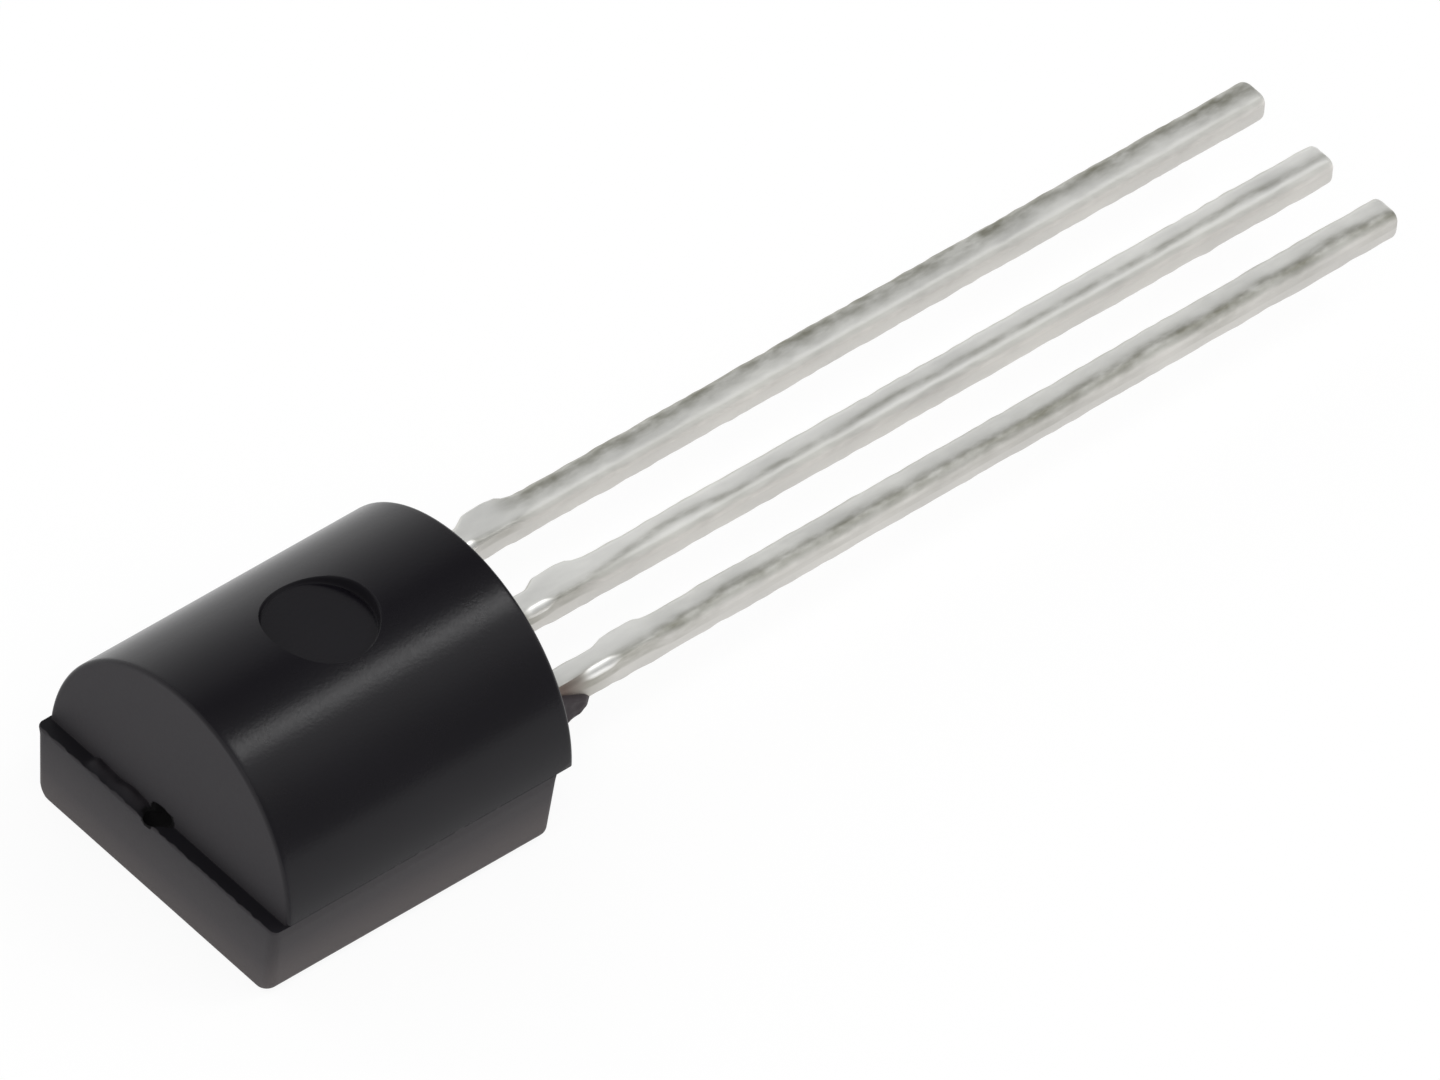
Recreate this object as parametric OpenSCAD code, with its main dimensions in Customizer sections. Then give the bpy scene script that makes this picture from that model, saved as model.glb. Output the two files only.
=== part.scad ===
// A TO-92 transistor lying on its flat side: one moulded epoxy body, three stamped and tinned leads,
// and inside the body the chip with its die attach and two bond wires. Lengths are in millimetres.
// +X runs along the leads to their tips, +Z from the flat side to the crown of the round side, and
// the origin is the centre of the flat side. Distances called "out" are measured from the exit face.

/* [Moulded body] */
// Diameter of the round side
body_d = 4.46; // [4.3:0.01:4.7]
// Length of each mould half at the parting line, along the leads
body_len = 4.56; // [4.4:0.01:4.8]
// Height of the round side's axis above the flat side
axis_z = 1.03; // [0.95:0.01:1.1]
// Height of the parting line above the flat side
parting_z = 1.13; // [1.12:0.01:1.25]
// How far the round half sits ahead of the flat half, towards the lead tips
mismatch_x = 0.22; // [0.05:0.01:0.25]
// How far the round half sits to the left of the flat half
mismatch_y = 0.01; // [0.01:0.01:0.06]
// Draft angle of the round half's end faces
round_draft = 0.9; // [0.5:0.1:3]
// Draft angle of the flat half's end faces
flat_draft = 2; // [1:0.1:5]
// Draft angle of the flat half's sides
side_draft = 3; // [1:0.1:5]
// Radius of the round half's rims
rim_r = 0.06; // [0.04:0.01:0.15]
// Radius of the long edges beside the flat side
long_edge_r = 0.2; // [0.2:0.01:0.4]
// Radius of the short edges at the ends of the flat side
short_edge_r = 0.05; // [0.03:0.01:0.05]
// Radius of the flat half's upright corners
corner_r = 0.12; // [0.05:0.01:0.2]

/* [Marks of moulding] */
// Diameter of the ejector pin's mark on the crown
ejector_d = 1.45; // [1.2:0.05:1.7]
// Depth of that mark at the crown
ejector_depth = 0.17; // [0.14:0.01:0.25]
// Place of that mark, along and across
ejector_at = [0.22, 0.06]; // [-0.5:0.01:0.5]
// Width of the broken gate on the ledge of the closed end
gate_w = 1.1; // [0.7:0.05:1.3]
// Distance from the gate's middle to the body's middle plane
gate_y = 0.85; // [0.75:0.01:1]
// Height of the broken gate above the ledge
gate_h = 0.08; // [0.04:0.01:0.15]
// Radius of the chip broken out of the end face beside the gate
chip_r = 0.17; // [0.1:0.01:0.25]
// How far the lump of resin creeps out along the right lead
lump_len = 0.93; // [0.5:0.01:1.1]
// Thickness of that lump on the lead's outer side
lump_side = 0.1; // [0.05:0.01:0.15]
// Thickness of that lump underneath the lead
lump_under = 0.13; // [0.05:0.01:0.2]

/* [Leads] */
// Distance between neighbouring leads
lead_pitch = 1.27; // [1.27:0.01:1.3]
// Free length of the left, centre and right lead past the exit face
lead_lens = [14.13, 14.06, 14.08]; // [12.5:0.01:14.5]
// How far each lead sits to the left of its straight place, at the exit face
root_drift = [0.01, -0.03, 0]; // [-0.05:0.01:0.05]
// The same at its tip
tip_drift = [0.03, -0.05, 0.05]; // [-0.15:0.01:0.15]
// Width of the shank, tin included
lead_w = 0.46; // [0.4:0.01:0.5]
// Thickness of the shank, tin included
lead_t = 0.41; // [0.36:0.01:0.44]
// Height of the leads' lower face above the flat side
lead_z = 1.08; // [1.06:0.01:1.12]
// Radius of the shank's edges
lead_edge_r = 0.12; // [0.05:0.01:0.14]
// Radius of the rounding at the tips
tip_r = 0.1; // [0.05:0.01:0.12]
// Width of the neck beside the body
neck_w = 0.38; // [0.34:0.01:0.4]
// Radius of the neck's edges
neck_edge_r = 0.07; // [0.04:0.01:0.1]
// How far the cut stub of the tie bar sticks out of each neck's left side
stub_out = [0.12, 0.12, 0.07]; // [0.03:0.01:0.15]
// Radius of the stubs' edges
stub_edge_r = 0.04; // [0.03:0.01:0.08]
// Start and end of those stubs, out from the exit face
stub_span = [1.28, 1.93]; // [1.2:0.01:2.1]

/* [Chip and bonds] */
// Side of the die pad, along the leads
pad_len = 1.5; // [1.2:0.05:1.6]
// Width of the die pad
pad_w = 1.6; // [1.2:0.05:1.8]
// Side of the silicon die
die_side = 0.42; // [0.3:0.01:0.5]
// Thickness of the silicon die
die_t = 0.2; // [0.15:0.01:0.3]
// Thickness of the die attach
attach_t = 0.02; // [0.02:0.005:0.04]
// Diameter of a bond wire
wire_d = 0.03; // [0.03:0.005:0.05]
// Rise of a bond wire's arch above the die
wire_rise = 0.6; // [0.4:0.05:0.8]

/* [Hidden] */
$fn = 96;

exit_x = mismatch_x + body_len / 2;
closed_x = mismatch_x - body_len / 2;
lead_top_z = lead_z + lead_t;
crown_z = axis_z + body_d / 2;
arc_steps = 8;
ease_steps = 4;

// Inner parts of the lead frame, out from the exit face
post_span = [-1.9, -1.1];
post_inner_w = 0.55;
post_outer_w = 0.33;
pad_end = -3.65;
pad_start = pad_end + pad_len;
inner_edge_r = 0.03;

// Chip, seated at the middle of the die pad
die_x = exit_x + pad_end + pad_len / 2;
die_z = lead_top_z + attach_t;
attach_margin = 0.05;

// Bond wires: from a pad on the die to the bond post of an outer lead
wire_start = [0.1, 0.1];
wire_end = [-1.4, 1.0];
wire_sides = 8;
wire_rings = 14;
ball_d = 0.09;
ball_t = 0.03;
stitch = [0.12, 0.07, 0.012];

// Points on an arc about centre c, from angle a to angle b
function arc_points(c, r, a, b, n) =
    [for (i = [0:n]) let (t = a + (b - a) * i / n) c + r * [cos(t), sin(t)]];

// A rectangle from low to high with each corner eased by r, counter-clockwise
function eased_rectangle(low, high, r, n) = concat(
    arc_points([high.x - r, low.y + r], r, -90, 0, n),
    arc_points([high.x - r, high.y - r], r, 0, 90, n),
    arc_points([low.x + r, high.y - r], r, 90, 180, n),
    arc_points([low.x + r, low.y + r], r, 180, 270, n));

// Closed skin over a list of rings, each a list of 3-D points in the same order
module skin(rings) {
    n = len(rings[0]);
    last = len(rings) - 1;
    points = [for (ring = rings) for (p = ring) p];
    sides = [for (j = [0:last - 1]) for (k = [0:n - 1])
        let (near = j * n, far = near + n, next = (k + 1) % n)
        each [[far + k, far + next, near + next], [far + k, near + next, near + k]]];
    start_cap = [for (k = [0:n - 1]) k];
    end_cap = [for (k = [n - 1:-1:0]) last * n + k];
    polyhedron(points, concat(sides, [start_cap, end_cap]), convexity = 6);
}

// Round half: a bar with eased rims, cut at the parting line and by the draft of its end faces
module round_half() {
    r = body_d / 2;
    half = body_len / 2;
    lean = (crown_z - parting_z + 1) * tan(round_draft);
    translate([mismatch_x, mismatch_y, 0])
        intersection() {
            translate([0, 0, axis_z])
                rotate([0, 90, 0])
                    rotate_extrude()
                        polygon(concat([[0, -half]],
                                       arc_points([r - rim_r, -half + rim_r], rim_r, -90, 0, arc_steps),
                                       arc_points([r - rim_r, half - rim_r], rim_r, 0, 90, arc_steps),
                                       [[0, half]]));
            rotate([90, 0, 0])
                linear_extrude(body_d + 2, center = true)
                    polygon([[-half, parting_z], [half, parting_z],
                             [half - lean, crown_z + 1], [-half + lean, crown_z + 1]]);
        }
}

// How far a wall of the flat half stands in from its top edge at the height z: it leans by its draft,
// and its foot is rounded by r into the flat side
function lean_in(z, r, draft) =
    z > r * (1 - sin(draft)) ? (parting_z - z) * tan(draft)
    : parting_z * tan(draft) + r * (1 - sin(draft)) / cos(draft) - sqrt(r * r - pow(r - z, 2));

// Flat half: rounded rectangles from the flat side up to the parting line, with drafted ends and
// sides that ease into the flat side over its short and its long edges
module flat_half() {
    heights = concat([for (a = [0:22.5:90]) short_edge_r * (1 - cos(a))],
                     [for (a = [45:15:90]) long_edge_r * (1 - cos(a))], [parting_z]);
    skin([for (z = heights)
        let (x = body_len / 2 - lean_in(z, short_edge_r, flat_draft),
             y = body_d / 2 - lean_in(z, long_edge_r, side_draft))
        [for (p = eased_rectangle([-x, -y], [x, y], corner_r, arc_steps)) [p.x, p.y, z]]]);
}

// Stub of resin left on the ledge where the gate was snapped off
module broken_gate() {
    translate([0, mismatch_y + gate_y + gate_w / 2, 0])
        rotate([90, 0, 0])
            linear_extrude(gate_w)
                polygon([[closed_x + 0.05, parting_z - 0.05], [closed_x + 0.05, parting_z + gate_h],
                         [closed_x - 0.08, parting_z + 0.8 * gate_h],
                         [closed_x - 0.19, parting_z + 0.3 * gate_h],
                         [closed_x - 0.2, parting_z - 0.05]]);
}

// Lump of resin that crept out under the right lead and up its outer side. From the face outwards
// its top falls as a parabola, and it swells like a blunt nose that closes on the lead at its end.
module resin_lump() {
    inset = 0.04;
    nose = 0.06;
    steps = 8;
    root = mismatch_x + 0.08;
    right = -neck_w / 2 + inset;
    left = neck_w / 2 - inset;
    skin([for (i = [-1:steps])
        let (u = max(i, 0) / steps, out = i < 0 ? -root : u * lump_len,
             swell = sqrt(1 - pow(u, 4)), top = nose + (lead_t - nose) * (1 - u * u))
        [for (p = eased_rectangle([right - (lump_side + inset) * swell, -lump_under * swell], [left, top],
                                  nose / 2 * (1 + swell), ease_steps))
            [exit_x + out, mismatch_y - lead_pitch + p.x, lead_z + p.y]]]);
}

module moulded_body() {
    color("#3a393c")
        difference() {
            union() {
                round_half();
                flat_half();
                broken_gate();
                resin_lump();
            }
            translate([ejector_at.x, ejector_at.y, crown_z - ejector_depth])
                cylinder(h = 1, d = ejector_d);
            translate([closed_x - 0.05, mismatch_y + gate_y - gate_w / 2 - chip_r, parting_z + 0.03])
                sphere(chip_r);
            left_lead();
            centre_lead();
            right_lead();
            silicon_die();
            die_attach();
            left_bond_wire();
            right_bond_wire();
        }
}

// One lead swept along X, from left to right number 0, 1 and 2. Each station is [out, right side,
// left side, edge radius, inset], with both sides measured across from the lead's centre line and
// the inset taken off its top and its underside.
module lead(number, stations) {
    y = mismatch_y + (1 - number) * lead_pitch;
    color("#cfd1d1")
        skin([for (s = stations)
            [for (p = eased_rectangle([s[1], s[4]], [s[2], lead_t - s[4]], s[3], ease_steps))
                [exit_x + s[0], y + drift_at(number, s[0]) + p.x, lead_z + p.y]]]);
}

// How far a lead has drifted to the left at a distance out from the exit face
function drift_at(number, out) =
    root_drift[number] + (tip_drift[number] - root_drift[number]) * max(out, 0) / lead_lens[number];

// Stations of the free part, from the exit face outwards: neck, stub of the cut tie bar on the left
// side, shank, and the sheared tip, whose rounding is a quarter turn from the sides to the end
function free_stations(number) =
    let (neck = neck_w / 2, shank = lead_w / 2, out = stub_out[number],
         from = stub_span[0], to = stub_span[1], len = lead_lens[number])
    concat(
        [[0, -neck, neck, neck_edge_r, 0],
         [from - 0.06, -neck, neck, neck_edge_r, 0],
         [from, -neck, neck + 0.25 * out, neck_edge_r, 0],
         [from + 0.14, -neck, neck + 0.85 * out, stub_edge_r, 0],
         [to - 0.13, -neck, neck + out, stub_edge_r, 0],
         [to, -neck - 0.01, neck + 0.85 * out, stub_edge_r, 0],
         [to + 0.07, -neck - 0.02, neck + 0.5 * out, neck_edge_r, 0],
         [to + 0.24, -shank, shank, lead_edge_r, 0]],
        [for (a = [0:30:90]) let (inset = tip_r * (1 - cos(a)))
            [len - tip_r * (1 - sin(a)), -shank + inset, shank - inset, lead_edge_r - inset / 2, inset]]);

// Outer leads end inside the body in a bond post, wider towards the die pad
function post_stations(side) =
    let (neck = neck_w / 2, r = inner_edge_r,
         right = side > 0 ? -post_inner_w : -post_outer_w,
         left = side > 0 ? post_outer_w : post_inner_w)
    [[post_span[0], right, left, r, 0],
     [post_span[1], right, left, r, 0],
     [post_span[1] + 0.2, -neck, neck, r, 0],
     [-0.2, -neck, neck, r, 0]];

// The centre lead ends in the pad that carries the die
function pad_stations() =
    let (neck = neck_w / 2, pad = pad_w / 2, r = inner_edge_r)
    [[pad_end, -pad, pad, r, 0],
     [pad_start, -pad, pad, r, 0],
     [pad_start + 0.15, -neck, neck, r, 0],
     [-0.2, -neck, neck, r, 0]];

module left_lead() lead(0, concat(post_stations(1), free_stations(0)));

module centre_lead() lead(1, concat(pad_stations(), free_stations(1)));

module right_lead() lead(2, concat(post_stations(-1), free_stations(2)));

module die_attach() {
    side = die_side + 2 * attach_margin;
    color("#b9b4a6")
        translate([die_x - side / 2, mismatch_y - side / 2, lead_top_z])
            cube([side, side, attach_t]);
}

module silicon_die() {
    color("#4a4f5e")
        translate([die_x - die_side / 2, mismatch_y - die_side / 2, die_z])
            cube([die_side, die_side, die_t]);
}

// Place and heading on a cubic curve with the control points p
function curve_at(p, t) =
    pow(1 - t, 3) * p[0] + 3 * t * pow(1 - t, 2) * p[1] + 3 * t * t * (1 - t) * p[2] + pow(t, 3) * p[3];
function curve_heading(p, t) =
    let (d = pow(1 - t, 2) * (p[1] - p[0]) + 2 * t * (1 - t) * (p[2] - p[1]) + t * t * (p[3] - p[2]))
    d / norm(d);

// A wire rises from its ball on the die, arches over and lies flat on the bond post
module bond_wire(side) {
    r = wire_d / 2;
    lying = r * cos(180 / wire_sides);
    from = [die_x + wire_start.x, mismatch_y + side * wire_start.y, die_z + die_t];
    to = [exit_x + wire_end.x, mismatch_y + side * wire_end.y, lead_top_z + lying];
    run = [to.x - from.x, to.y - from.y, 0];
    ahead = run / norm(run);
    across = [-ahead.y, ahead.x, 0];
    route = [from + [0, 0, 0.5 * ball_t], from + [0, 0, wire_rise], to - 0.5 * ahead, to];
    color("#c9a44a") {
        skin([for (i = [0:wire_rings - 1])
            let (t = i / (wire_rings - 1), q = curve_at(route, t), h = curve_heading(route, t),
                 up = cross(h, across))
            [for (k = [0:wire_sides - 1]) let (a = 360 * (k + 0.5) / wire_sides)
                q + r * (cos(a) * across + sin(a) * up)]]);
        translate(from)
            cylinder(h = ball_t, d = ball_d, $fn = 24);
        translate([to.x, to.y, lead_top_z])
            rotate([0, 0, atan2(ahead.y, ahead.x)])
                translate([-stitch.x / 2, -stitch.y / 2, 0])
                    cube(stitch);
    }
}

module left_bond_wire() bond_wire(1);

module right_bond_wire() bond_wire(-1);

moulded_body();
left_lead();
centre_lead();
right_lead();
silicon_die();
die_attach();
left_bond_wire();
right_bond_wire();
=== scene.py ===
import math
import bmesh
import bpy
import numpy as np
from mathutils import Matrix, Vector


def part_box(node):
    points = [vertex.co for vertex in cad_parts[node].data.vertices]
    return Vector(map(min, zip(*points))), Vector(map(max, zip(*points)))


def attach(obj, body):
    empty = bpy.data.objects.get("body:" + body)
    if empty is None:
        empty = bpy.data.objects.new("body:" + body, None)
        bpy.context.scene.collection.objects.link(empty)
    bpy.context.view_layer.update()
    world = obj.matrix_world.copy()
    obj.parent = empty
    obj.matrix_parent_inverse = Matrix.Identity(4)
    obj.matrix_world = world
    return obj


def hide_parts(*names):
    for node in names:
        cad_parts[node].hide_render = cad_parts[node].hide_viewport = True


MM = 0.001
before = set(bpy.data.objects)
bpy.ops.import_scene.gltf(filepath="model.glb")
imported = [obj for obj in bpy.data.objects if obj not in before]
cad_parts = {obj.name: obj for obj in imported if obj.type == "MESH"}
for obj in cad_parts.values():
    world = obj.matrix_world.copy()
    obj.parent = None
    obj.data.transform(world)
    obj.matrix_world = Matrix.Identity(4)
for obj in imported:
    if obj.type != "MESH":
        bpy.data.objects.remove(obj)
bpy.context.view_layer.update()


# Moulded body
# The transistor's case: charcoal epoxy moulding compound, cast in one shot round the lead frame in
# a two-part mould. The round half and the flat half sit a little out of line, and the case keeps
# the marks of the mould: an ejector pin's dent, a snapped gate, a chip and a creep of resin.

# Sizes in millimetres, of the same form as the solid
BODY_LOW, BODY_HIGH = (np.array(corner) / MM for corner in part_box("moulded_body"))
CROWN_Z = BODY_HIGH[2]
AXIS_Z = 1.03
ROUND_R = CROWN_Z - AXIS_Z
PARTING_Z = 1.13
HALF_LEN = -BODY_LOW[0]
HALF_W = -BODY_LOW[1]
MISMATCH = np.array([0.22, 0.01])
FOOT_X = MISMATCH[0] - HALF_LEN
EXIT_X = MISMATCH[0] + HALF_LEN
ROUND_DRAFT = math.radians(0.9)
FLAT_DRAFT = math.radians(2)
SIDE_DRAFT = math.radians(3)
RIM_R = 0.06
LONG_EDGE_R = 0.2
SHORT_EDGE_R = 0.05
CORNER_R = 0.12

# Finer than the solid: the worn edge of the flat half, and the sides where both halves are rubbed flush
WORN_EDGE_H = 0.03
WORN_EDGE_IN = 0.012
WORN_EDGE_UNEVEN = 0.008
FINE_ROWS_Z = 0.95
FLUSH_H = 0.15
SLIDE_H = 0.08

# The ejector pin's mark, with the half width of its rounded wall and of the round patch of grid at it
MARK_R = 0.725
MARK_DEPTH = 0.17
MARK_AT = np.array([0.22, 0.06]) - MISMATCH
MARK_WALL = 0.018
WALL_REACH = 1.4
MARK_FIELD = 1.0

GATE_SPAN = (0.31, 1.41)
GATE_FADES = (0.1, 0.15)
GATE_H = 0.08
CHIP_AT = np.array([FOOT_X - 0.05, 0.14, PARTING_Z + 0.03])
CHIP_R = 0.17
CHIP_SQUASH = [1, 0.85, 1.5]

WELD = 1e-4
SHARP_ANGLE = math.radians(40)


def rounded_outline(sides, ends, corner):
    """Columns of a rounded rectangle, as place P and direction D: a point is P * (half - r) + r * D."""
    turn = np.radians(np.linspace(0, 90, corner + 2)[1:-1])
    start = np.array([[-1.0, -1], [1, -1], [1, 1], [-1, 1]])
    place, heading = [], []
    for k, run in enumerate((sides, ends[1], sides, ends[0])):
        a, b = start[k], start[(k + 1) % 4]
        ahead = (b - a) / 2
        out = ahead[::-1] * (1, -1)
        rounding = np.outer(np.cos(turn), out) + np.outer(np.sin(turn), ahead)
        place += [(a + b) / 2 + ahead * run[:, None], np.tile(b, (corner, 1))]
        heading += [np.tile(out, (len(run), 1)), rounding]
    return np.concatenate(place), np.concatenate(heading)


def smooth(x, low, high):
    """Runs from 0 at low to 1 at high, level at both ends."""
    t = np.clip((x - low) / (high - low), 0, 1)
    return t * t * (3 - 2 * t)


def ripples(points, size, seed, count=28):
    """Even unevenness of about -1 to 1: a sum of sines of random heading and phase, wavelength near size."""
    rng = np.random.default_rng(seed)
    heading = rng.normal(size=(count, points.shape[-1]))
    heading /= np.linalg.norm(heading, axis=1, keepdims=True)
    waves = 2 * np.pi / (size * rng.uniform(0.6, 1.7, count))
    phases = rng.uniform(0, 2 * np.pi, count)
    return np.sin(points @ (heading * waves[:, None]).T + phases).sum(-1) / math.sqrt(count)


def skin_mesh(name, grids, values):
    """Mesh of closed tubes: each grid is rings by columns by xyz in mm, and values are its attributes."""
    corners, faces, start = [], [], 0
    for grid in grids:
        rings, columns = grid.shape[:2]
        index = start + np.arange(rings * columns).reshape(rings, columns)
        after = np.roll(index, -1, axis=1)
        faces.append(np.stack([index[:-1], after[:-1], after[1:], index[1:]], -1).reshape(-1, 4))
        corners.append(grid.reshape(-1, 3))
        start += rings * columns
    mesh = bpy.data.meshes.new(name)
    mesh.from_pydata((np.concatenate(corners) * MM).tolist(), [], np.concatenate(faces).tolist())
    for key, value in values.items():
        mesh.attributes.new(key, "FLOAT", "POINT").data.foreach_set("value", value.astype(np.float32))
    shell = bmesh.new()
    shell.from_mesh(mesh)
    bmesh.ops.remove_doubles(shell, verts=shell.verts, dist=WELD * MM)
    shell.to_mesh(mesh)
    shell.free()
    mesh.polygons.foreach_set("use_smooth", [True] * len(mesh.polygons))
    mesh.set_sharp_from_angle(angle=SHARP_ANGLE)
    made = bpy.data.objects.new(name, mesh)
    bpy.context.scene.collection.objects.link(made)
    return made


# Lines of the grid along the body, close together at the wall of the ejector's mark
wall_lines = MARK_R + MARK_WALL * np.linspace(-WALL_REACH, WALL_REACH, 9)
mark_lines = np.concatenate([np.linspace(0, 0.68, 14), wall_lines, np.linspace(0.77, MARK_FIELD, 9)])
half_run = HALF_LEN - RIM_R
along = np.concatenate([mark_lines, np.linspace(MARK_FIELD, half_run, 26)[1:]]) / half_run
along = np.concatenate([-along[:0:-1], along])
place, heading = rounded_outline(along, (np.linspace(-1, 1, 141), np.linspace(-1, 1, 81)), 6)


def lean_in(z, r, draft):
    """How far a wall stands in at height z: (top - z) * tan(draft), its foot eased by the radius r."""
    foot = PARTING_Z * math.tan(draft) + r * (1 - math.sin(draft)) / math.cos(draft)
    eased = foot - np.sqrt(r * r - np.clip(r - z, 0, None) ** 2)
    return np.where(z > r * (1 - math.sin(draft)), (PARTING_Z - z) * math.tan(draft), eased)


def flat_half():
    """Rings from the middle of the flat side outwards, over its edges and up its drafted walls."""
    turn = np.radians(np.linspace(0, 90, 11))
    feet = [SHORT_EDGE_R * (1 - np.cos(turn)), LONG_EDGE_R * (1 - np.cos(turn[5:]))]
    rows = [np.linspace(LONG_EDGE_R, FINE_ROWS_Z, 8)[1:], np.linspace(FINE_ROWS_Z, PARTING_Z, 14)[1:]]
    z = np.concatenate([[0, 0, 0], *feet, *rows])
    half = np.stack([HALF_LEN - lean_in(z, SHORT_EDGE_R, FLAT_DRAFT),
                     HALF_W - lean_in(z, LONG_EDGE_R, SIDE_DRAFT)], -1)
    spread = np.array([0, 0.4, 0.8] + [1] * (len(z) - 3))[:, None, None]
    plan = spread * (place * (half - CORNER_R)[:, None] + CORNER_R * heading)
    worn = smooth(z, PARTING_Z - WORN_EDGE_H, PARTING_Z)[:, None] ** 2 * np.abs(heading[:, 0])
    ragged = np.clip(WORN_EDGE_IN + WORN_EDGE_UNEVEN * ripples(plan[-1], size=0.2, seed=3), 0, None)
    plan = plan - (worn * ragged)[..., None] * heading
    return np.dstack([plan, np.broadcast_to(z[:, None], plan.shape[:2])])


def round_half():
    """Rings up the round side: at each angle from the axis the skin, its rims and a row of each end."""
    low = math.asin((PARTING_Z - AXIS_Z) / ROUND_R)
    high = math.acos(MARK_FIELD / ROUND_R)
    angle = np.concatenate([np.linspace(low, low + 0.12, 13)[:-1], np.linspace(low + 0.12, high, 34)[:-1],
                            np.arccos(mark_lines[::-1] / ROUND_R)])
    reach = ROUND_R - RIM_R + RIM_R * np.abs(heading[:, 1])
    y = place[:, 1] * reach * np.cos(angle)[:, None]
    z = np.maximum(AXIS_Z + reach * np.sin(angle)[:, None], PARTING_Z)
    half = HALF_LEN - (z - PARTING_Z) * math.tan(ROUND_DRAFT)
    x = place[:, 0] * (half - RIM_R) + RIM_R * heading[:, 0]
    # Round the ejector's mark the square rings of the grid are eased into circles
    skin = np.abs(heading[:, 1]) > 0.999
    a = np.where(skin, place[:, 0] * half_run, 9)[None]
    b = place[:, 1] * np.where(angle >= high, ROUND_R * np.cos(angle), 9)[:, None]
    ring = np.maximum(np.abs(a), np.abs(b))
    inside = ring <= MARK_FIELD
    p, q = (v / np.maximum(ring, 1e-9) for v in np.broadcast_arrays(a, b))
    circle = np.stack([p * np.sqrt(np.clip(1 - q * q / 2, 0, 1)),
                       q * np.sqrt(np.clip(1 - p * p / 2, 0, 1))], -1)
    eased = smooth(ring, wall_lines[-1], MARK_FIELD)
    flat = MARK_AT + circle * ring[..., None]
    x = np.where(inside, flat[..., 0] + eased * (x - flat[..., 0]), x)
    y = np.where(inside, flat[..., 1] + eased * (y - flat[..., 1]), y)
    crown = AXIS_Z + np.sqrt(np.clip(ROUND_R ** 2 - y * y, 0, None))
    floor = CROWN_Z - MARK_DEPTH
    rise = smooth(ring, MARK_R - MARK_WALL, MARK_R + MARK_WALL)
    z = np.where(inside, floor + rise * (crown - floor), z)
    return np.dstack([x + MISMATCH[0], y + MISMATCH[1], z])


def ledge(outer, inner):
    """Rings across the parting plane, from the rim of the flat half to the foot of the round half."""
    t = np.linspace(0, 1, 14)[1:-1, None, None]
    return outer + t * (inner - outer)


# Along both sides the halves meet flush: their edges are slid along X into one row of points
lower, upper = flat_half(), round_half()
flush = smooth(lower[..., 2], PARTING_Z - FLUSH_H, PARTING_Z) * np.abs(heading[:, 1])
lower[..., 1] += flush * (upper[0] - lower[-1])[:, 1]
side = np.abs(heading[:, 1]) > 0.999
seam_x = np.interp(place[:, 0], [-1, 1], [upper[0, side, 0].min(), lower[-1, side, 0].max()])
lower_slid = smooth(lower[..., 2], PARTING_Z - SLIDE_H, PARTING_Z) * side
upper_slid = smooth(-upper[..., 2], -PARTING_Z - SLIDE_H, -PARTING_Z) * side
lower[..., 0] += lower_slid * (seam_x - lower[-1, :, 0])
upper[..., 0] += upper_slid * (seam_x - upper[0, :, 0])
body = np.concatenate([lower, ledge(lower[-1], upper[0]), upper])

# Where the skin is polished and where it is matt. The far wall of the ejector's mark is dull
polished, walls, painted_shade_level = np.zeros((3, *body.shape[:2]))
mark_x, mark_y = np.moveaxis(upper[..., :2] - MARK_AT - MISMATCH, -1, 0)
mark_wall = np.abs(np.hypot(mark_x, mark_y) - MARK_R) < WALL_REACH * MARK_WALL
mark_wall = mark_wall * smooth(mark_x + mark_y, 0, 0.5) * (upper[..., 2] > CROWN_Z - 2 * MARK_DEPTH)
polished[-len(upper):] = np.abs(heading[:, 1]) * (1 - mark_wall)
# The ledge between the halves keeps the near-black base: painted shade at the round half's foot
walls[:len(lower)] = 1
walls[-len(upper):] = 1 - np.abs(heading[:, 1])
# Painted light from the floor: the matt colour is paler low down, and paler still on the long sides
painted_shade_level[:] = np.clip(body[..., 2] / PARTING_Z, 0, 1)
painted_shade_level[:len(lower)] -= 0.25 * np.abs(heading[:, 1])

# Stub of the snapped gate on the ledge, highest beside the round half
x, y, z = body[..., 0], body[..., 1], body[..., 2]
on_end = x < FOOT_X + 0.01
on_ledge = z > PARTING_Z - 0.001
across = smooth(y, GATE_SPAN[0], GATE_SPAN[0] + GATE_FADES[0])
across = across * smooth(-y, -GATE_SPAN[1], GATE_FADES[1] - GATE_SPAN[1])
stub = smooth(x, -HALF_LEN, FOOT_X - 0.06) * across * on_end * on_ledge
stub_h = GATE_H * stub * (0.75 + 0.2 * ripples(body[..., :2], size=0.3, seed=5))
raised = on_ledge & (stub_h > z - PARTING_Z)
body[..., 2] = np.where(raised, PARTING_Z + stub_h, z)
broken = np.where(raised, 0.15 * stub, 0)

# Chip beside it: what lies inside a sphere is pushed out to the sphere, unevenly
from_chip = body - CHIP_AT
gap = np.linalg.norm(from_chip * CHIP_SQUASH, axis=-1)
chip_r = CHIP_R * (1 + 0.2 * ripples(body, size=0.22, seed=8))
# Round the chip and a little past it the colour is near-black: painted shade in its hollow
chip_painted_shade = (gap < 1.08 * chip_r) & on_end
pushed = (gap < chip_r) & on_end
body = np.where(pushed[..., None], CHIP_AT + from_chip / gap[..., None] * chip_r[..., None], body)

# Lump of resin that crept out along the right lead, closed on the lead at its end
LEAD_PITCH = 1.27
LEAD_T = 0.41
LEAD_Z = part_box("right_lead")[0].z / MM
NECK = 0.19
LUMP_LEN = 0.93
LUMP_SIDE = 0.1
LUMP_UNDER = 0.13


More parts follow.
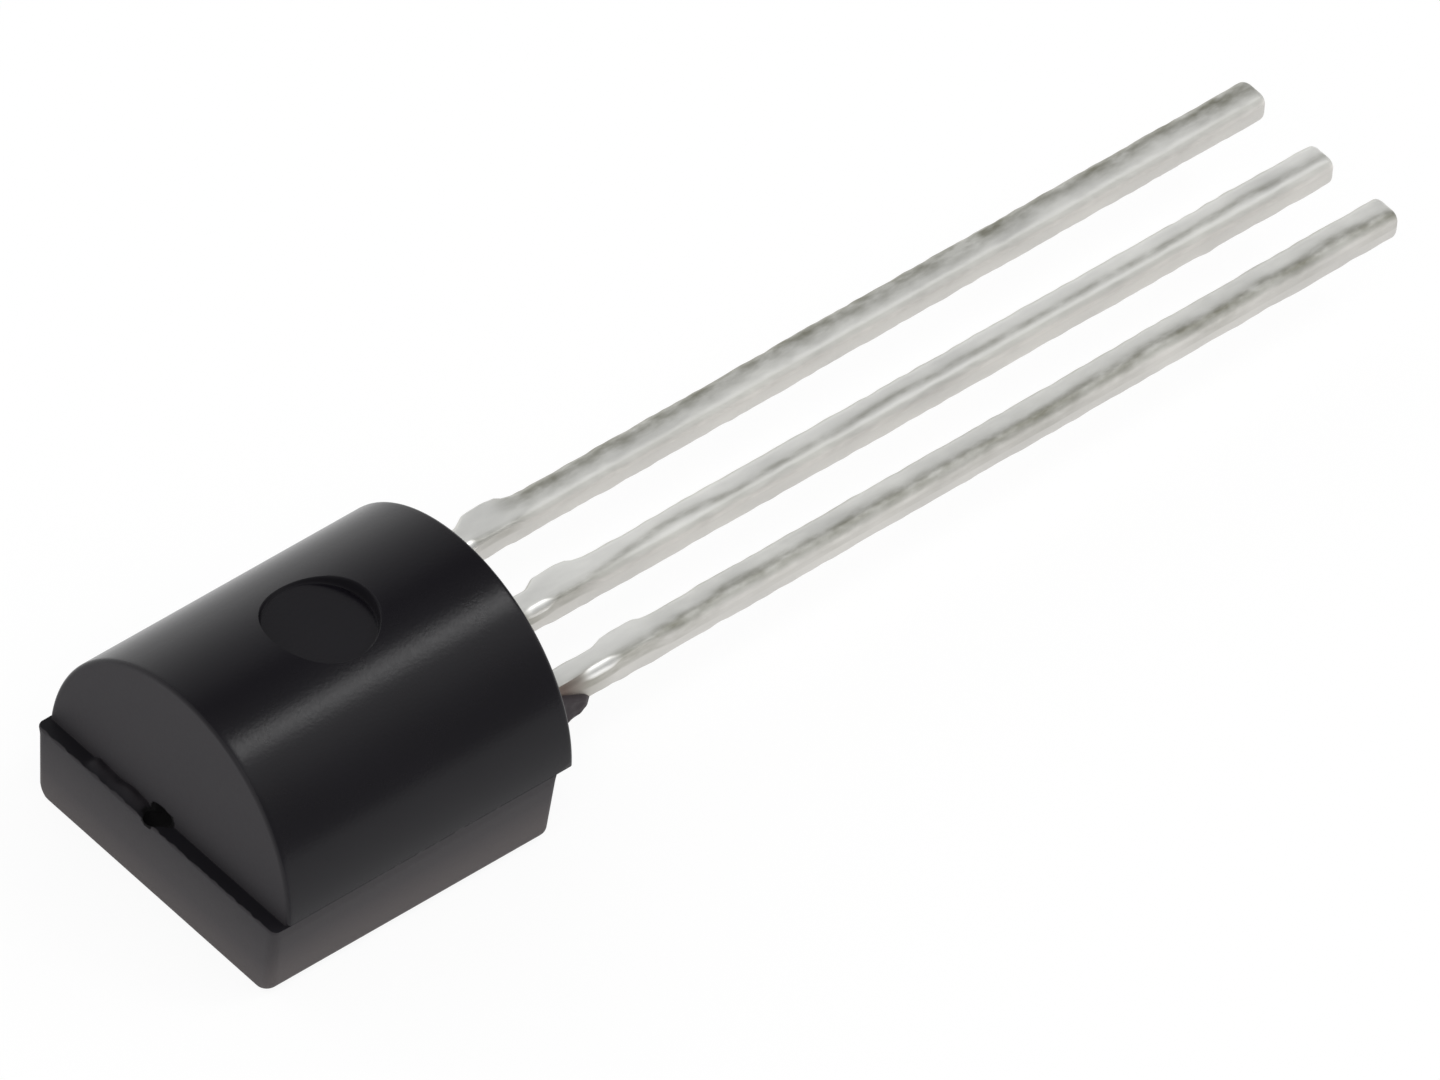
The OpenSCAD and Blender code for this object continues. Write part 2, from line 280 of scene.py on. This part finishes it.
def resin_lump():
    """Rounded sections along the lead: the top falls as a parabola and the rest swells as a blunt nose."""
    out = np.concatenate([[-0.3, -0.3], np.sin(np.radians(np.linspace(0, 90, 30))) * LUMP_LEN, [LUMP_LEN]])
    u = np.clip(out / LUMP_LEN, 0, 1)
    swell, nose, inset = np.sqrt(1 - u ** 4), 0.06, 0.04
    low = np.stack([-NECK + inset - (LUMP_SIDE + inset) * swell, -LUMP_UNDER * swell], -1)
    high = np.stack([np.full(len(u), NECK - inset), nose + (LEAD_T - nose) * (1 - u * u)], -1)
    p, d = rounded_outline(np.linspace(-1, 1, 9), (np.linspace(-1, 1, 11),) * 2, 6)
    r = (nose / 2 * (1 + swell))[:, None, None]
    section = (low + high)[:, None] / 2 + p * ((high - low)[:, None] / 2 - r) + r * d
    section[[0, -1]] = ((low + high) / 2)[[0, -1], None]
    side, up = section[..., 0] + MISMATCH[1] - LEAD_PITCH, section[..., 1] + LEAD_Z
    lump = np.dstack([np.broadcast_to(EXIT_X + out[:, None], side.shape), side, up])
    uneven = 0.008 * ripples(lump, size=0.16, seed=21)
    lump[1:-1] += uneven[1:-1, :, None] * np.insert(d, 0, 0, axis=1)
    return lump


def to_linear(code):
    """Linear red, green and blue, with alpha 1, of an sRGB hex colour."""
    s = np.array([int(code[k:k + 2], 16) for k in (1, 3, 5)]) / 255
    return (*np.where(s <= 0.04045, s / 12.92, ((s + 0.055) / 1.055) ** 2.4), 1.0)


def add_node(tree, kind, inputs, **settings):
    """Adds a node. Each input is a value or the socket that feeds it; settings are set on the node."""
    made = tree.nodes.new(kind)
    for key, value in settings.items():
        setattr(made, key, value)
    for key, value in inputs.items():
        if isinstance(value, bpy.types.NodeSocket):
            tree.links.new(value, made.inputs[key])
        else:
            made.inputs[key].default_value = value
    return made


def moulded_epoxy():
    """Charcoal epoxy compound, as moulded: nearly black, its silica filler showing as a fine grain.

    The round skin is polished by the mould. The end faces and the flat half's walls are matt and
    paler, with painted light from the floor that makes them paler and warmer towards the flat side
    and paler on its long sides. The ledge keeps the near-black base as painted shade. Broken resin
    is paler, and the chip is dull, its hollow painted near-black as painted shade."""
    material = bpy.data.materials.new("moulded_epoxy")
    material.use_nodes = True
    tree = material.node_tree
    surface = tree.nodes["Principled BSDF"]
    place = add_node(tree, "ShaderNodeTexCoord", {}).outputs["Object"]
    # The filler's grain is drawn a little coarser than real, so that it shows
    grain_mm, cloud_mm = 0.045, 1.4
    grain = add_node(tree, "ShaderNodeTexNoise",
                     {"Vector": place, "Scale": 1 / (grain_mm * MM), "Detail": 3.0}).outputs["Fac"]
    cloud = add_node(tree, "ShaderNodeTexNoise",
                     {"Vector": place, "Scale": 1 / (cloud_mm * MM), "Detail": 3.0}).outputs["Fac"]
    marks = {name: add_node(tree, "ShaderNodeAttribute", {}, attribute_name=name).outputs["Fac"]
             for name in ("walls", "painted_shade_level", "broken", "chip_painted_shade", "polished")}
    # The matt colour with painted light from the floor: pale and warm low down, dark at the top
    matt_and_painted_light = add_node(tree, "ShaderNodeValToRGB", {"Fac": marks["painted_shade_level"]})
    matt_and_painted_light.color_ramp.elements[0].color = to_linear("#635e5e")
    matt_and_painted_light.color_ramp.elements.new(0.45).color = to_linear("#4b484a")
    matt_and_painted_light.color_ramp.elements[2].color = to_linear("#383639")
    tint = add_node(tree, "ShaderNodeValToRGB", {"Fac": cloud})
    tint.color_ramp.elements[0].color = to_linear("#0f0d12")
    tint.color_ramp.elements[1].color = to_linear("#17151b")
    colour = tint.outputs["Color"]
    # Over the base go the matt colour with its painted light, the broken resin, and the chip's painted shade
    for share, other in ((marks["walls"], matt_and_painted_light.outputs["Color"]), (marks["broken"], to_linear("#433d40")),
                         (marks["chip_painted_shade"], to_linear("#0c0b0c"))):
        colour = add_node(tree, "ShaderNodeMix", {"Factor": share, "A": colour, "B": other},
                          data_type="RGBA").outputs["Result"]
    gloss = add_node(tree, "ShaderNodeMath", {0: marks["polished"], 1: -0.41, 2: 0.6},
                     operation="MULTIPLY_ADD").outputs[0]
    for share, more in ((grain, 0.08), (marks["chip_painted_shade"], 0.3)):
        gloss = add_node(tree, "ShaderNodeMath", {0: share, 1: more, 2: gloss},
                         operation="MULTIPLY_ADD").outputs[0]
    bump = add_node(tree, "ShaderNodeBump", {"Height": grain, "Distance": 0.003 * MM, "Strength": 0.4})
    tree.links.new(colour, surface.inputs["Base Color"])
    tree.links.new(gloss, surface.inputs["Roughness"])
    tree.links.new(bump.outputs["Normal"], surface.inputs["Normal"])
    surface.inputs["IOR"].default_value = 1.5
    surface.inputs["Specular IOR Level"].default_value = 0.23
    return material


# Each mark's values on the body, and its one value on the lump
lump = resin_lump()
marks = {"broken": (broken, 1), "chip_painted_shade": (chip_painted_shade, 0), "polished": (polished, 0), "walls": (walls, 0),
         "painted_shade_level": (painted_shade_level, 0)}
marks = {name: np.append(on_body.reshape(-1), np.full(lump[..., 0].size, on_lump))
         for name, (on_body, on_lump) in marks.items()}
case = skin_mesh("moulded_case", [body, lump], marks)
case.data.materials.append(moulded_epoxy())
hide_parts("moulded_body")
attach(case, "root")


# Leads
# Three legs stamped from one strip of copper alloy, hot-dipped in tin, then cut free of their tie
# bar, which leaves a stub on one side of each. The dip is uneven, with a fine wander of the edges
# and a run of tin on each neck, glossy and with a painted glint. Inside the case the leads end in
# two posts and the pad.

# Sizes in millimetres. Each list of three goes from the left lead to the right one
LEAD_LENS = [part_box(name)[1].x / MM - EXIT_X for name in ("left_lead", "centre_lead", "right_lead")]
ROOT_DRIFT = [0.01, -0.03, 0]
TIP_DRIFT = [0.03, -0.05, 0.05]
STUB_OUT = [0.12, 0.12, 0.07]
STUB_SPAN = (1.28, 1.93)
SHANK = 0.23
SHANK_EDGE_R = 0.12
NECK_EDGE_R = 0.07
STUB_EDGE_R = 0.04
TIP_R = 0.1
POST_SPAN = (-1.9, -1.1)
POST_WIDE, POST_NARROW = 0.55, 0.33
PAD_END, PAD_LEN, PAD_HALF = -3.65, 1.5, 0.8
INNER_EDGE_R = 0.03

# The tin: its crown's apex and radius, its run's place and length, and the place, width and
# strength of the painted shade line along each top, which starts at the near edge of the neck,
# and of the painted shade along the far edges
TIN_RIPPLE = 0.005
TIN_CROWNS = [(0.12, 1.2), (0.03, 0.8), (-0.03, 0.8)]
TIN_RUNS = [(1.2, 0.09), (1.18, 0.2), (1.1, 0.25)]
RUN_EDGE_R = 0.11
PAINTED_SHADE_LINES = [(-0.2, 0.04, 0.0), (-0.06, 0.05, 0.65), (-0.13, 0.08, 1.0)]
NECK_LINE, NECK_STRENGTH = -0.16, 0.75
FAR_LINE, FAR_WIDTH, FAR_STRENGTH = 0.14, 0.19, [1.0, 0, 0.15]
STAINED_LEAD = 2
STAIN_LEN = 1.35


def lead_stations(number):
    """Rows of distance out, right side, left side and edge radius, from the inner end to the tip."""
    stub = STUB_OUT[number]
    start, end = STUB_SPAN
    left_post = [(at, -POST_WIDE, POST_NARROW) for at in POST_SPAN] + [(POST_SPAN[1] + 0.2, -NECK, NECK)]
    right_post = [(at, -POST_NARROW, POST_WIDE) for at in POST_SPAN] + [(POST_SPAN[1] + 0.2, -NECK, NECK)]
    pad = [(PAD_END, -PAD_HALF, PAD_HALF), (PAD_END + PAD_LEN, -PAD_HALF, PAD_HALF),
           (PAD_END + PAD_LEN + 0.15, -NECK, NECK)]
    inner = [(*row, INNER_EDGE_R) for row in (left_post, pad, right_post)[number]]
    outer = [(-0.2, -NECK, NECK, INNER_EDGE_R),
             (0, -NECK, NECK, NECK_EDGE_R),
             (start - 0.06, -NECK, NECK, NECK_EDGE_R),
             (start, -NECK, NECK + 0.25 * stub, NECK_EDGE_R),
             (start + 0.14, -NECK, NECK + 0.85 * stub, STUB_EDGE_R),
             (end - 0.13, -NECK, NECK + stub, STUB_EDGE_R),
             (end, -NECK - 0.01, NECK + 0.85 * stub, STUB_EDGE_R),
             (end + 0.07, -NECK - 0.02, NECK + 0.5 * stub, NECK_EDGE_R),
             (end + 0.24, -SHANK, SHANK, SHANK_EDGE_R),
             (LEAD_LENS[number], -SHANK, SHANK, SHANK_EDGE_R)]
    return np.array(inner + outer)


def painted_shade_lines(number, out, from_centre, past_neck):
    """Bell curves of painted shade over the top: a line from the neck's near edge, and the far edge's."""
    at, width, strength = PAINTED_SHADE_LINES[number]
    at = NECK_LINE + (at - NECK_LINE) * smooth(out, 1.4, 3.2)[:, None]
    line = np.exp(-((from_centre - at) / width) ** 2)
    line *= NECK_STRENGTH + (strength - NECK_STRENGTH) * past_neck
    far = np.exp(-((from_centre - FAR_LINE) / FAR_WIDTH) ** 2) * FAR_STRENGTH[number] * past_neck
    return np.clip(line + far, 0, 1)


def lead_surface(number):
    """A rounded rectangle carried along X through the stations, its tip eased to a quarter turn.

    The tin adds a parabola over the top, a rounder edge at its run and ripples that grow at the
    edges. Returns the grid and its vertex attributes, among them the masks of painted light and shade."""
    rows = lead_stations(number)
    tip = LEAD_LENS[number]
    tip_steps = tip - TIP_R * (1 - np.sin(np.linspace(0, np.pi / 2, 9)))
    out = np.concatenate([rows[:3, 0], np.arange(-0.2, tip - TIP_R, 0.035), tip_steps])
    right, left, r = (np.interp(out, rows[:, 0], rows[:, k]) for k in (1, 2, 3))
    inset = TIP_R * (1 - np.sqrt(1 - np.clip((out - tip + TIP_R) / TIP_R, 0, 1) ** 2))
    drift = ROOT_DRIFT[number] + (TIP_DRIFT[number] - ROOT_DRIFT[number]) * np.clip(out, 0, None) / tip
    p, d = rounded_outline(np.linspace(-1, 1, 9), (np.linspace(-1, 1, 9),) * 2, 7)
    half = np.stack([(left - right) / 2 - inset, LEAD_T / 2 - inset], -1)
    r = (r - inset / 2)[:, None, None]
    section = p * (half[:, None] - r) + r * d
    # A run of tin rounds the near upper edge off
    at, length = TIN_RUNS[number]
    run = np.exp(-((out - at) / length)[:, None] ** 4)
    near_top = (1 - p[:, 0]) * (1 + p[:, 1]) / 4
    section += (run * near_top)[..., None] * (RUN_EDGE_R - NECK_EDGE_R) * (d + [1, -1])
    edge = 2 * np.abs(d[:, 0] * d[:, 1])
    # On the rounded edge the run also marks where its painted glint goes
    run = run * smooth(edge * near_top, 0.1, 0.6)
    # The tin's crown, as high as the flat top at the far edge
    apex, radius = TIN_CROWNS[number]
    middle = ((left + right) / 2)[:, None]
    wander = 0.02 * ripples(out[:, None] * [1, 0], size=1.3, seed=51 + number)[:, None]
    from_centre = section[..., 0] + middle - wander
    crown = ((SHANK - apex) ** 2 - (from_centre - apex) ** 2) / (2 * radius)
    crown *= smooth(out, 0, 0.2)[:, None] * smooth(-out, -tip, 0.25 - tip)[:, None]
    past_neck = smooth(out, 1.7, 2.3)[:, None]
    # The painted shade lines go on the upper half of the section
    painted_line_shade = painted_shade_lines(number, out, from_centre, past_neck) * (section[..., 1] > 0)
    section[..., 1] += crown * np.clip(section[..., 1] / (LEAD_T / 2), 0, 1)
    x = np.broadcast_to(EXIT_X + out[:, None], section.shape[:2])
    side = section[..., 0] + middle + (MISMATCH[1] + (1 - number) * LEAD_PITCH + drift)[:, None]
    shape = np.dstack([x, side, section[..., 1] + LEAD_Z + LEAD_T / 2])
    # Ripples, longer along the lead than across it
    flow = shape * [1, 1.6, 1.6]
    tin = 0.7 * ripples(flow, size=1.1, seed=31 + number)
    tin += (0.25 + 0.7 * edge) * ripples(flow, size=0.3, seed=41 + number)
    tin *= TIN_RIPPLE * smooth(out, 0, 0.15)[:, None] * (1 - 0.7 * run)
    shape += tin[..., None] * np.insert(d, 0, 0, axis=1)
    # Both ends close on their middles
    ends = shape[[0, -1]].mean(1, keepdims=True) + np.zeros_like(shape[[0, -1]])
    shape = np.concatenate([ends[:1], shape, ends[1:]])
    run, painted_line_shade = (np.concatenate([value[:1], value, value[-1:]]) for value in (run, painted_line_shade))
    # facing_up carries the painted light by facing, and outward the painted shade beside the case
    facing = np.tile(d[None, :, 1], (len(shape), 1))
    outward = np.maximum(shape[..., 0] - EXIT_X, 0)
    stain = np.clip(1.6 - 1.6 * outward / STAIN_LEN, 0, 1) * (d[:, 0] < -0.1) * (number == STAINED_LEAD)
    values = {"facing_up": facing, "tin_run_and_painted_glint": run, "outward": outward, "stained": stain, "painted_line_shade": painted_line_shade}
    return shape, {key: value.reshape(-1) for key, value in values.items()}


def remap(tree, value, low, high, first, last):
    """The value as a share of low to high, kept between 0 and 1 and laid from first to last."""
    return add_node(tree, "ShaderNodeMapRange", {"Value": value, "From Min": low, "From Max": high,
                                                 "To Min": first, "To Max": last}).outputs["Result"]


def dipped_tin():
    """Copper alloy with a hot-dipped coat of tin: uneven satin, with painted light by facing that makes
    it pale and cool on top, warmer and darker at the sides and darker at the upper edges.

    It has painted shade beside the case and lines of painted shade along each top. The runs of
    tin are glossy and painted white as a glint, and the bare copper that shows at the right lead's
    root is a dull brown."""
    material = bpy.data.materials.new("dipped_tin")
    material.use_nodes = True
    tree = material.node_tree
    surface = tree.nodes["Principled BSDF"]
    place = add_node(tree, "ShaderNodeTexCoord", {}).outputs["Object"]
    place = add_node(tree, "ShaderNodeMapping",
                     {"Vector": place, "Scale": (0.4, 1.0, 1.0)}).outputs["Vector"]
    # The patches and streaks of the dip, 2.5 times as long along the lead as across it
    blotch_mm, streak_mm = 0.4, 0.12
    blotch = add_node(tree, "ShaderNodeTexNoise",
                      {"Vector": place, "Scale": 1 / (blotch_mm * MM), "Detail": 4.0}).outputs["Fac"]
    streak = add_node(tree, "ShaderNodeTexNoise",
                      {"Vector": place, "Scale": 1 / (streak_mm * MM), "Detail": 3.0}).outputs["Fac"]
    marks = {name: add_node(tree, "ShaderNodeAttribute", {}, attribute_name=name).outputs["Fac"]
             for name in ("facing_up", "outward", "tin_run_and_painted_glint", "stained", "painted_line_shade")}
    # Painted light by facing: pale on top, warmer and darker at the sides and at the upper edges
    painted_facing_light = add_node(tree, "ShaderNodeValToRGB", {"Fac": marks["facing_up"]})
    painted_facing_light.color_ramp.elements[0].color = to_linear("#dfddd9")
    painted_facing_light.color_ramp.elements[1].color = to_linear("#f8f8f5")
    painted_facing_light.color_ramp.elements.new(0.45).color = to_linear("#f2f0ec")
    painted_facing_light.color_ramp.elements.new(0.85).color = to_linear("#e4e4df")
    colour = painted_facing_light.outputs["Color"]
    # Random patches of the dip, and painted shade that darkens the tin beside the case
    for shade in (remap(tree, blotch, 0.3, 0.7, 0.88, 1.04),
                  remap(tree, marks["outward"], 0.0, 0.6, 0.72, 1.0)):
        colour = add_node(tree, "ShaderNodeVectorMath", {0: colour, 1: shade},
                          operation="MULTIPLY").outputs["Vector"]
    # The painted shade lines, broken up by the streaks
    worn = remap(tree, streak, 0.3, 0.7, 0.35, 1.0)
    painted_line_shade = add_node(tree, "ShaderNodeMath", {0: marks["painted_line_shade"], 1: worn}, operation="MULTIPLY").outputs[0]
    bare = add_node(tree, "ShaderNodeMath", {0: marks["stained"], 1: 2.0, 2: -1.0},
                    operation="MULTIPLY_ADD", use_clamp=True).outputs[0]
    # Over these: the painted shade lines, the right lead's stain and bare copper, and each run's painted
    # glint
    for share, code in ((painted_line_shade, "#9a998d"), (marks["stained"], "#b0ada5"), (bare, "#7f726b"),
                        (marks["tin_run_and_painted_glint"], "#fbfbf8")):
        colour = add_node(tree, "ShaderNodeMix", {"Factor": share, "A": colour, "B": to_linear(code)},
                          data_type="RGBA").outputs["Result"]
    satin = remap(tree, blotch, 0.3, 0.7, 0.56, 0.68)
    gloss = add_node(tree, "ShaderNodeMath", {0: marks["tin_run_and_painted_glint"], 1: -0.34, 2: satin},
                     operation="MULTIPLY_ADD").outputs[0]
    bump = add_node(tree, "ShaderNodeBump", {"Height": streak, "Distance": 0.006 * MM, "Strength": 0.4})
    tree.links.new(colour, surface.inputs["Base Color"])
    tree.links.new(gloss, surface.inputs["Roughness"])
    tree.links.new(bump.outputs["Normal"], surface.inputs["Normal"])
    surface.inputs["Metallic"].default_value = 1.0
    return material


tin = dipped_tin()
for number, name in enumerate(("left", "centre", "right")):
    shape, values = lead_surface(number)
    lead = skin_mesh(name + "_tinned_lead", [shape], values)
    lead.data.materials.append(tin)
    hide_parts(name + "_lead")
    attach(lead, "root")


# Chip and bonds
# Sealed in the case: the silicon die on its silver-filled adhesive, and two gold wires, each balled
# on the die and stitched to a post. They keep their own solids and get their real finishes.


def inner_finish(name, code, metallic, rough, grain_mm):
    """A plain finish with a fine grain in its roughness, for the pieces sealed in the case."""
    material = bpy.data.materials.new(name)
    material.use_nodes = True
    tree = material.node_tree
    surface = tree.nodes["Principled BSDF"]
    place = add_node(tree, "ShaderNodeTexCoord", {}).outputs["Object"]
    grain = add_node(tree, "ShaderNodeTexNoise", {"Vector": place, "Scale": 1 / (grain_mm * MM)})
    gloss = remap(tree, grain.outputs["Fac"], 0.0, 1.0, rough - 0.05, rough + 0.05)
    tree.links.new(gloss, surface.inputs["Roughness"])
    surface.inputs["Base Color"].default_value = to_linear(code)
    surface.inputs["Metallic"].default_value = metallic
    return material


silicon = inner_finish("polished_silicon", "#4a4f5e", 0.6, 0.12, 0.05)
silver_epoxy = inner_finish("silver_filled_adhesive", "#b9b4a6", 0.4, 0.5, 0.01)
gold = inner_finish("drawn_gold", "#d8a94a", 1.0, 0.2, 0.02)
for name, finish in (("silicon_die", silicon), ("die_attach", silver_epoxy),
                     ("left_bond_wire", gold), ("right_bond_wire", gold)):
    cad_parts[name].data.materials.clear()
    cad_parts[name].data.materials.append(finish)


# Floor and light
# A plain white floor, which the camera and the tin see as white and which keeps a faint shadow. The
# room is dark a little left of overhead, pale to both sides of that and grey again low on the right.
# A small lamp stands above the leads, and a larger and weaker one at the closed end.

FLOOR_REACH = 1.5
FLOOR_DROP = 2e-6
SHOWN_WHITE = 0.85
LAMP_DISTANCE = 0.25

floor_mesh = bpy.data.meshes.new("floor")
floor_mesh.from_pydata([(-FLOOR_REACH, -FLOOR_REACH, -FLOOR_DROP), (FLOOR_REACH, -FLOOR_REACH, -FLOOR_DROP),
                        (FLOOR_REACH, FLOOR_REACH, -FLOOR_DROP), (-FLOOR_REACH, FLOOR_REACH, -FLOOR_DROP)],
                       [], [(0, 1, 2, 3)])
floor = bpy.data.objects.new("floor", floor_mesh)
bpy.context.scene.collection.objects.link(floor)
white = bpy.data.materials.new("white_floor")
white.use_nodes = True
tree = white.node_tree
tree.nodes.clear()
lit = add_node(tree, "ShaderNodeBsdfDiffuse", {"Color": to_linear("#f4f4f4")}).outputs["BSDF"]
glow = add_node(tree, "ShaderNodeEmission", {"Color": to_linear("#ffffff"), "Strength": 1.06})
rays = add_node(tree, "ShaderNodeLightPath", {}).outputs
seen = rays["Is Camera Ray"]
for kind in ("Is Glossy Ray", "Is Transmission Ray"):
    seen = add_node(tree, "ShaderNodeMath", {0: seen, 1: rays[kind]},
                    operation="ADD", use_clamp=True).outputs[0]
share = add_node(tree, "ShaderNodeMath", {0: seen, 1: SHOWN_WHITE}, operation="MULTIPLY").outputs[0]
mixed = add_node(tree, "ShaderNodeMixShader", {"Fac": share, 1: lit, 2: glow.outputs["Emission"]})
add_node(tree, "ShaderNodeOutputMaterial", {"Surface": mixed.outputs["Shader"]})
floor.data.materials.append(white)

# The room's greys, from the right (0) over the part to the left (1)
ROOM_GREYS = [(0.095, "#979797"), (0.155, "#b3b3b3"), (0.24, "#e6e6e6"), (0.33, "#f3f3f3"), (0.4, "#f3f3f3"),
              (0.45, "#a4a4a4"), (0.525, "#8e8e8e"), (0.585, "#828282"), (0.64, "#696969"),
              (0.695, "#898989"), (0.75, "#adadad"), (0.795, "#bababa"), (0.87, "#d7d7d7"),
              (0.93, "#eeeeee")]
world = bpy.context.scene.world or bpy.data.worlds.new("studio")
bpy.context.scene.world = world
world.use_nodes = True
tree = world.node_tree
tree.nodes.clear()
direction = add_node(tree, "ShaderNodeTexCoord", {}).outputs["Generated"]
leftward = add_node(tree, "ShaderNodeSeparateXYZ", {"Vector": direction}).outputs["Y"]
across = remap(tree, leftward, -1.0, 1.0, 0.0, 1.0)
room = add_node(tree, "ShaderNodeValToRGB", {"Fac": across})
room.color_ramp.elements[0].color = to_linear("#959595")
room.color_ramp.elements[1].color = to_linear("#f3f3f3")
for at, code in ROOM_GREYS:
    room.color_ramp.elements.new(at).color = to_linear(code)
seen = add_node(tree, "ShaderNodeLightPath", {}).outputs["Is Camera Ray"]
backdrop = add_node(tree, "ShaderNodeMix",
                    {"Factor": seen, "A": room.outputs["Color"], "B": to_linear("#ffffff")},
                    data_type="RGBA").outputs["Result"]
sky = add_node(tree, "ShaderNodeBackground", {"Color": backdrop, "Strength": 1.3}).outputs["Background"]
add_node(tree, "ShaderNodeOutputWorld", {"Surface": sky})


def soft_lamp(name, towards, size, power):
    """A square lamp in the given direction from the object, facing it."""
    lamp = bpy.data.lights.new(name, "AREA")
    lamp.size = size
    lamp.energy = power
    made = bpy.data.objects.new(name, lamp)
    away = Vector(towards).normalized()
    made.location = away * LAMP_DISTANCE
    made.rotation_euler = away.to_track_quat("Z", "Y").to_euler()
    bpy.context.scene.collection.objects.link(made)


soft_lamp("lamp_above_right", (0.498, -0.225, 0.837), 0.042, 0.032)
soft_lamp("lamp_closed_end", (-0.7, 0.1, 0.7), 0.2, 0.03)


# Camera
# Half a metre off with a very long lens, at the angle that the photograph was taken from.

AZIMUTH, ELEVATION, ROLL = np.radians([-44.9194, 45.1914, 5.7])
PIXELS_PER_MM = 82.2894
DISTANCE = 500.0
OFF_CENTRE = (-3.3026, -2.2447)
IMAGE_WIDTH = 1440
level_back = np.array([math.sin(AZIMUTH), -math.cos(AZIMUTH), 0])
back = level_back * math.cos(ELEVATION) + [0, 0, math.sin(ELEVATION)]
level_right = np.cross([0, 0, 1], back)
level_right /= np.linalg.norm(level_right)
level_up = np.cross(back, level_right)
right = level_right * math.cos(ROLL) + level_up * math.sin(ROLL)
up = level_up * math.cos(ROLL) - level_right * math.sin(ROLL)
place_of_camera = DISTANCE * back - OFF_CENTRE[0] * right - OFF_CENTRE[1] * up + [EXIT_X, MISMATCH[1], 0]
lens = bpy.data.cameras.new("camera")
lens.sensor_fit = "HORIZONTAL"
lens.sensor_width = 36
lens.lens = PIXELS_PER_MM * DISTANCE * lens.sensor_width / IMAGE_WIDTH
camera = bpy.data.objects.new("camera", lens)
turned = Matrix(np.stack([right, up, back], 1).tolist()).to_4x4()
camera.matrix_world = Matrix.Translation(Vector(place_of_camera) * MM) @ turned
bpy.context.scene.collection.objects.link(camera)
bpy.context.scene.camera = camera
bpy.context.scene.view_settings.view_transform = "Standard"
